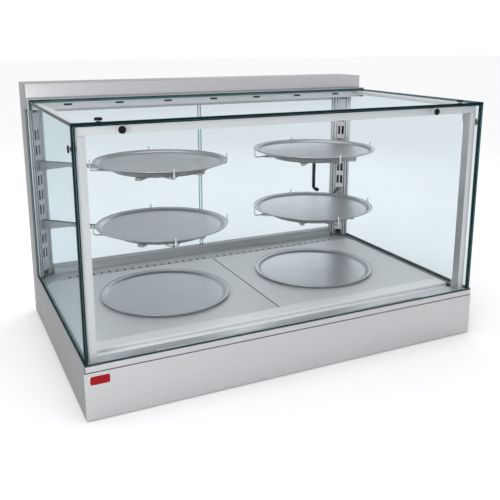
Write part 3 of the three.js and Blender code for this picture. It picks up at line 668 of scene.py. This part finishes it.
def make_fixing(node, direction):
    """Black cap outside the pane; sleeve and washer in pale nylon. direction points out of the case."""
    low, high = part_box(node)
    outward = Vector(direction)
    centre, half = (low + high) / 2, (high - low) / 2
    along = abs(outward.dot(half))
    radius = sorted(half)[1]
    length = 2 * along
    cap = (6.7 if direction[2] else 3.7) * MM
    profile = [(0, length - 1.6 * MM), (3.0 * MM, length - 1.6 * MM), (3.0 * MM, length - 0.2 * MM)]
    for i in range(7):
        angle = math.pi / 2 * i / 6
        profile.append((radius - 1.6 * MM * (1 - math.sin(angle)), length - 1.6 * MM * (1 - math.cos(angle))))
    washer = 1.0 * MM
    profile += [(radius, length - cap + washer), (0, length - cap + washer)]
    base = Matrix.Translation(centre - outward * along) @ facing(direction)
    piece(f"{node}_cap", placed(turned(profile, 40), base), black_plastic, "case", [node])
    sleeve = [(0, 0), (6.6 * MM, 0), (7.0 * MM, 0.4 * MM), (7.0 * MM, length - cap - 6.6 * MM),
              (4.7 * MM, length - cap - 6.6 * MM), (4.7 * MM, length - cap), (0, length - cap)]
    if length - cap < 7 * MM:
        sleeve = [(0, 0), (4.7 * MM, 0), (4.7 * MM, length - cap), (0, length - cap)]
    disc = [(0, length - cap), (radius + 1.3 * MM, length - cap),
            (radius + 1.7 * MM, length - cap + 0.4 * MM),
            (radius + 1.3 * MM, length - cap + washer), (0, length - cap + washer)]
    parts = [placed(turned(sleeve, 32), base), placed(turned(disc, 40), base)]
    piece(f"{node}_sleeve", joined(*parts), nylon, "case")


for side, sign in (("left", -1), ("right", 1)):
    make_fixing(f"glass_fixing_front_{side}", (0, -1, 0))
    make_fixing(f"glass_fixing_top_{side}", (0, 0, 1))
    make_fixing(f"glass_fixing_side_{side}", (sign, 0, 0))


# --- Rear columns, hood and doors -----------------------------------------------------------

for node in ("rear_post_left", "rear_post_right"):
    dressed(node, column_silver_and_post_shade, 1.2 * MM, 3)
for node in ("standard_left", "standard_right"):
    dressed(node, silver_frame, 0.3 * MM, 1)


def make_channel_painted_shade(side, sign):
    """A dark sheet in the channel behind a slotted standard: painted shade seen through the slots."""
    low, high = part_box(f"standard_{side}")
    centre = (low + high) / 2
    half, depth, wall = 9.8 * MM, 7.6 * MM, 0.3 * MM
    section = [(-half, 0), (-half, depth), (half, depth), (half, 0), (half - wall, 0),
               (half - wall, depth - wall), (wall - half, depth - wall), (wall - half, 0)]
    bm = prism(section, "z", low.z - 18 * MM, high.z)
    turn = Matrix.Rotation(-sign * math.pi / 4, 4, "Z")
    behind = turn @ Vector((0, 1.8 * MM, 0))
    spot = Matrix.Translation((centre.x + behind.x, centre.y + behind.y, 0))
    # The channel liner is painted shade.
    piece(f"standard_{side}_liner", placed(bm, spot @ turn), joint_black_and_painted_shade, "case")


def make_column_ribs(side, sign):
    """Raised ribs and dark joints that run up the column on both sides of its slotted standard."""
    low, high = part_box(f"standard_{side}")
    centre = (low + high) / 2
    column_low, column_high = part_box(f"rear_post_{side}")
    face = 1.55 * MM
    ends = (column_low.z + 6 * MM, column_high.z - 6 * MM)
    spot = Matrix.Translation((centre.x, centre.y, 0)) @ Matrix.Rotation(-sign * math.pi / 4, 4, "Z")
    ribs, joints = [], []
    for x in (-31 * MM, -21 * MM, 21 * MM, 31 * MM):
        section = [(x - 3.2 * MM, face + 0.2 * MM), (x - 2.2 * MM, face - 2 * MM),
                   (x + 2.2 * MM, face - 2 * MM), (x + 3.2 * MM, face + 0.2 * MM)]
        ribs.append(prism(section, "z", *ends, 0.6 * MM, 3))
    for x in (-26, -16.2, 16.2, 26):
        joints.append(slab(((x - 0.7) * MM, face - 0.15 * MM, ends[0]),
                           ((x + 0.7) * MM, face + 0.2 * MM, ends[1])))
    piece(f"column_{side}_ribs", placed(joined(*ribs), spot), silver_frame, "case")
    piece(f"column_{side}_joints", placed(joined(*joints), spot), joint_black_and_painted_shade, "case")


for side, sign in (("left", -1), ("right", 1)):
    make_channel_painted_shade(side, sign)
    make_column_ribs(side, sign)


def make_hood():
    """The hood's front and back are satin; its top and its ends are painted darker and duller, as painted
    shade.
    """
    bm = rounded(clean_copy("hood_shell"), 0.9 * MM, 3)
    bm.normal_update()
    for face in bm.faces:
        if face.normal.z > 0.7:
            face.material_index = 1
        elif abs(face.normal.x) > 0.9:
            face.material_index = 2
    # Top faces and end faces take the darker copies: painted shade.
    materials = [satin_steel, hood_top_painted_shade, side_steel_painted_shade]
    piece("hood_shell_finished", bm, materials, "case", ["hood_shell"])
    # A near-black sheet behind the vent slots of the rear top rail: painted shade.
    low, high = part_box("rear_top_rail")
    liner = slab((-0.49, low.y + 2.4 * MM, high.z - 13 * MM), (0.49, low.y + 3.4 * MM, high.z - 2 * MM))
    piece("vent_painted_shade", liner, joint_black_and_painted_shade, "case")


make_hood()
dressed("rear_top_rail", silver_frame, 0.5 * MM)
dressed("light_bar", lamp_lens, 0.8 * MM)
for node in ("door_track_bottom", "door_track_top"):
    dressed(node, silver_frame, 0.4 * MM, 1)


HOOD_FACE_Y = 241.4 * MM


def make_hood_hem():
    """The folded hem along the bottom of the hood's front face, seen as a fine step."""
    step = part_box("top_glass")[1].z + 5.2 * MM
    face = HOOD_FACE_Y
    low = Vector((cad_low.x + 0.6 * MM, face - 0.7 * MM, step))
    high = Vector((cad_high.x - 0.6 * MM, face + 0.3 * MM, step + 7 * MM))
    piece("hood_hem", slab(low, high, 0.3 * MM, 2), satin_steel, "case")


make_hood_hem()


def make_handle(node):
    """A D-shaped pull with rounded corners, standing on two round pads, with a cap inside the pane."""
    low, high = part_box(node)
    x, thick = (low.x + high.x) / 2, 10 * MM
    outer = high.y - thick / 2
    ends = (low.z + thick / 2, high.z - thick / 2)
    corners = [(x, low.y, ends[0]), (x, outer, ends[0]), (x, outer, ends[1]), (x, low.y, ends[1])]
    section = rounded_rectangle(5.8 * MM, 4.8 * MM, 3.2 * MM, 4)
    parts = [swept(smooth_path(corners, 13 * MM, 8), section)]
    pane_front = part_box(node.replace("_handle", ""))[0].y
    for z in ends:
        pad = turned([(0, 0), (7.4 * MM, 0), (7.4 * MM, 1.2 * MM), (6.6 * MM, 2 * MM), (0, 2 * MM)], 32)
        parts.append(placed(pad, Matrix.Translation((x, low.y, z)) @ facing((0, 1, 0))))
        cap = turned([(0, 0), (6.5 * MM, 0), (6.5 * MM, 0.9 * MM), (5 * MM, 2 * MM), (0, 2.3 * MM)], 32)
        parts.append(placed(cap, Matrix.Translation((x, pane_front - 0.1 * MM, z)) @ facing((0, -1, 0))))
    piece(f"{node}_pull", joined(*parts), black_plastic, node_body[node], [node])


make_handle("door_handle_left")
make_handle("door_handle_right")


# --- Racks and pans -------------------------------------------------------------------------

PAN_STEPS = 96


def make_pan(node):
    """A spun pan: flat floor, curved wall and a rim rolled over a bead."""
    low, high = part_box(node)
    centre = (low + high) / 2
    radius, floor, top = (high.x - low.x) / 2, low.z, high.z
    wall, bead = 1.2 * MM, 1.5 * MM
    foot = radius - 17 * MM
    outside = [(0, 0), (foot - 4 * MM, 0)]
    inside = [(0, wall), (foot - 4 * MM, wall)]
    height = top - floor
    for i in range(1, 9):
        t = i / 8
        reach = foot - 4 * MM + t * 13 * MM
        rise = (height - 2 * bead) * (0.5 - 0.5 * math.cos(math.pi * t))
        outside.append((reach, rise))
        inside.append((reach - 0.2 * MM, rise + wall))
    rolled = []
    for i in range(13):
        angle = -math.pi / 2 + 1.5 * math.pi * i / 12
        rolled.append((radius - bead + bead * math.cos(angle), height - bead + bead * math.sin(angle)))
    profile = outside + rolled + [inside[-1]] + list(reversed(inside[:-1]))
    body = placed(turned(profile, PAN_STEPS), Matrix.Translation((centre.x, centre.y, floor)))
    piece(f"{node}_spun", body, spun_aluminium, node_body[node], [node],
          at=(centre.x, centre.y, floor))


for level in ("deck", "middle", "upper"):
    for side in ("left", "right"):
        make_pan(f"pan_{level}_{side}")


def perforated_sheet(rings, cells, hole):
    """An open sheet of revolution through the (radius, height) rings. Between each pair of rings that
    hole marks as true, every one of the cells round it has a round hole."""
    bm = bmesh.new()
    steps = 2 * cells
    grid = []
    for radius, height in rings:
        angles = [2 * math.pi * i / steps for i in range(steps)]
        grid.append([bm.verts.new((radius * math.cos(a), radius * math.sin(a), height)) for a in angles])
    for band, (lower, upper) in enumerate(zip(grid, grid[1:])):
        if not hole[band]:
            for i in range(steps):
                j = (i + 1) % steps
                bm.faces.new((lower[i], lower[j], upper[j], upper[i]))
            continue
        for cell in range(cells):
            i = 2 * cell
            j, k = i + 1, (i + 2) % steps
            rim = [lower[i], lower[j], lower[k], upper[k], upper[j], upper[i]]
            middle = sum((v.co for v in rim), Vector()) / 6
            across = (lower[k].co - lower[i].co).normalized()
            up = (upper[j].co - lower[j].co).normalized()
            size = 0.31 * min((lower[k].co - lower[i].co).length, (upper[j].co - lower[j].co).length)
            ring = []
            for angle in (225, 270, 315, 45, 90, 135):
                a = math.radians(angle)
                ring.append(bm.verts.new(middle + across * (size * math.cos(a)) + up * (size * math.sin(a))))
            for n in range(6):
                m = (n + 1) % 6
                bm.faces.new((rim[n], rim[m], ring[m], ring[n]))
    return bm


def thickened(bm, thickness):
    """A sheet given a thickness downwards, as one closed body."""
    bm.normal_update()
    made = plain_object("sheet", bm)
    modifier = made.modifiers.new("thickness", "SOLIDIFY")
    modifier.thickness = thickness
    modifier.offset = -1
    bpy.context.view_layer.update()
    evaluated = made.evaluated_get(bpy.context.evaluated_depsgraph_get())
    result = bmesh.new()
    result.from_mesh(evaluated.to_mesh())
    evaluated.to_mesh_clear()
    bpy.data.objects.remove(made)
    bmesh.ops.recalc_face_normals(result, faces=result.faces)
    return result


HOOK_BOTTOM = 31 * MM      # from the top of the arm down to the tips of its hooks
PAN_GAP = 0.3 * MM
TAB_TURN = -8              # degrees from the long side to the first tab, the same on all racks
TAB_REACH = 197 * MM
TAB_TOP = 36 * MM
DISH_CELLS = 60            # round the dish


def make_rack(node):
    """Arm with a hooked head, cross bar, perforated dish and four wire tabs, built with the arm along
    local +X and turned to face its column."""
    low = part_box(node)[0]
    facing_column = math.pi / 4 if low.x > 0 else 3 * math.pi / 4
    pan_low, pan_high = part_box(node.replace("rack", "pan"))
    centre = (pan_low + pan_high) / 2
    level = low.z + HOOK_BOTTOM
    deep = pan_low.z - PAN_GAP - level
    post_low, post_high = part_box(f"standard_{node.split('_')[-1]}")
    post = (post_low + post_high) / 2
    reach = math.hypot(post.x - centre.x, post.y - centre.y) - 1.9 * MM
    place = Matrix.Translation((centre.x, centre.y, level)) @ Matrix.Rotation(facing_column, 4, "Z")
    head = -135 * MM
    web = [(head, 0), (head, -6 * MM), (head + 6 * MM, -8.4 * MM), (310 * MM, -12 * MM),
           (reach - 3 * MM, -30 * MM), (reach - 3 * MM, 0)]
    turn = Matrix.Rotation(-math.pi / 2, 4, "Z")
    arm = placed(prism(web, "x", -5 * MM, 5 * MM, 1.0 * MM, 3), turn)
    flange = slab((head + 2 * MM, -9 * MM, -2.6 * MM), (reach - 3 * MM, 9 * MM, 0), 0.9 * MM, 3)
    plate = slab((reach - 3 * MM, -13 * MM, -30 * MM), (reach - 0.4 * MM, 13 * MM, 0), 0.8 * MM, 3)
    bar = [(-8 * MM, -9 * MM), (-8 * MM, 9 * MM), (0, 9 * MM), (0, -9 * MM)]
    cross = prism(bar, "y", head, -head, 1.0 * MM, 3)
    hooks = []
    for offset in (-7 * MM, 7 * MM):
        outline = [(reach - 1 * MM, -28 * MM), (reach + 3.4 * MM, -28 * MM), (reach + 3.4 * MM, -31 * MM),
                   (reach + 6.8 * MM, -31 * MM), (reach + 6.8 * MM, -10 * MM), (reach + 4.8 * MM, -8 * MM),
                   (reach - 1 * MM, -8 * MM)]
        flat = prism(outline, "x", offset - 1.4 * MM, offset + 1.4 * MM, 0.3 * MM, 2)
        hooks.append(placed(flat, turn))
    bands = [(20, 2), (32, 2), (44, 2), (56, 2), (68, 2), (80, 2), (92, 2), (104, 2), (116, 2), (128, 2),
             (136, 2), (140.5, 0.34 * deep / MM), (144.5, 0.66 * deep / MM), (148, 0.94 * deep / MM),
             (150, deep / MM)]
    rings = [(r * MM, h * MM) for r, h in bands]
    open_band = [False, True, False, True, False, True, False, True, False, False, True, True, False, False]
    dish = thickened(perforated_sheet(rings, DISH_CELLS, open_band), 1.1 * MM)
    tabs = []
    rise, tip = 6.6 * MM, TAB_REACH
    for k in range(4):
        path = smooth_path([(139 * MM, 0, rise), (tip, 0, rise), (tip, 0, TAB_TOP)], 9 * MM, 8)
        spin = Matrix.Rotation(math.radians(TAB_TURN + 90 * k - 45), 4, "Z")
        tabs.append(placed(swept(path, round_section(2.2 * MM, 14)), spin))
        for lean in (-1, 1):
            brace = [Vector((138 * MM, lean * 26 * MM, rise)), Vector((tip - 14 * MM, lean * 2 * MM, rise))]
            tabs.append(placed(swept(brace, round_section(1.8 * MM, 12)), spin))
        end = placed(turned([(0, 0), (2.2 * MM, 0), (1.6 * MM, 1.2 * MM), (0, 1.8 * MM)], 14),
                     Matrix.Translation((tip, 0, TAB_TOP)))
        tabs.append(placed(end, spin))
    body = node_body[node]
    piece(f"{node}_arm", placed(joined(arm, flange, plate, cross, *hooks), place), pressed_steel, body,
          [node])
    piece(f"{node}_dish", placed(dish, place), pressed_steel, body)
    piece(f"{node}_tabs", placed(joined(*tabs), place), bright_wire, body)


for level in ("middle", "upper"):
    for side in ("left", "right"):
        make_rack(f"rack_{level}_{side}")


# --- Inside the base, and the controls ------------------------------------------------------

dressed("blower_housing", zinc, 0.5 * MM, 1, 50)
dressed("blower_wheel", black_plastic, 0.2 * MM, 1, 50)
dressed("heating_element", bright_wire, 0)
dressed("water_drawer", satin_steel, 0.5 * MM)
dressed("control_panel", black_plastic, 0.3 * MM, 1, 50)
dressed("power_switch", black_plastic, 0.5 * MM)
dressed("temperature_down_button", black_plastic, 0.3 * MM, 2, 50)
dressed("temperature_up_button", black_plastic, 0.3 * MM, 2, 50)
REARWARD = (0, 1, 0)
REAR_FACE_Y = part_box("rear_panel")[1].y
PLATE_FACE_Y = REAR_FACE_Y + 2 * MM
DISPLAY_X, DISPLAY_Z = 294 * MM, 70 * MM
SOCKET_LOW, SOCKET_HIGH = Vector((0.396, 0.356, 0.059)), Vector((0.424, 0.372, 0.081))


def make_display():
    """A blank window in a thin bezel on the control plate."""
    place = Matrix.Translation((DISPLAY_X, PLATE_FACE_Y, DISPLAY_Z)) @ facing(REARWARD)
    ring = minus(prism(rounded_rectangle(17 * MM, 12 * MM, 3 * MM), "z", 0, 1.4 * MM, 0.4 * MM, 2),
                 prism(rounded_rectangle(14.5 * MM, 9.5 * MM, 1.5 * MM), "z", -1 * MM, 3 * MM))
    window = prism(rounded_rectangle(14.3 * MM, 9.3 * MM, 1.4 * MM), "z", 0, 0.8 * MM, 0.2 * MM, 2)
    piece("display_bezel", placed(ring, place), bright_wire, "case")
    piece("display_window", placed(window, place), glass_edge, "case")


def make_button_mark(node, up):
    """A small raised triangle, pointing up or down, on the face of a button."""
    low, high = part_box(node)
    centre = (low + high) / 2
    tip = 3.2 * MM * (1 if up else -1)
    shape = [(centre.z + tip, centre.x), (centre.z - 0.7 * tip, centre.x - 3 * MM),
             (centre.z - 0.7 * tip, centre.x + 3 * MM)]
    mark = prism(shape, "y", high.y - 0.1 * MM, high.y + 0.25 * MM)
    piece(f"{node}_mark", mark, nylon, node_body[node])


def make_inlet_pins():
    """Three flat contacts standing inside the socket for the power lead."""
    low, high = SOCKET_LOW, SOCKET_HIGH
    middle = (low + high) / 2
    pins = []
    for x, z in ((-7, -3), (7, -3), (0, 4)):
        spot = Vector((middle.x + x * MM, 0, middle.z + z * MM))
        pins.append(slab((spot.x - 1 * MM, low.y - 0.5 * MM, spot.z - 2.4 * MM),
                         (spot.x + 1 * MM, high.y, spot.z + 2.4 * MM), 0.4 * MM, 2))
    piece("inlet_pins", joined(*pins), bright_wire, "case")


make_display()
make_button_mark("temperature_down_button", False)
make_button_mark("temperature_up_button", True)
make_inlet_pins()

screws("control_panel_screws", [(x, PLATE_FACE_Y, z) for x in (0.270, 0.490) for z in (0.038, 0.102)],
       REARWARD, "case", bright_wire, 3.0 * MM)
rear_panel_corners = [(x, REAR_FACE_Y, z) for x in (-0.553, -0.24, 0.22, 0.535) for z in (0.016, 0.122)]
screws("rear_panel_screws", rear_panel_corners, REARWARD, "case", bright_wire)
screws("hood_screws", [(x, cad_high.y, 0.706) for x in (-0.54, -0.18, 0.18, 0.54)],
       REARWARD, "case", bright_wire)
screws("riser_screws", [(x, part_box("rear_air_strip")[1].y - 9.5 * MM, 0.1476) for x in (-0.49, 0.49)],
       (0, -0.85, 0.53), "case", bright_wire, 3.0 * MM)
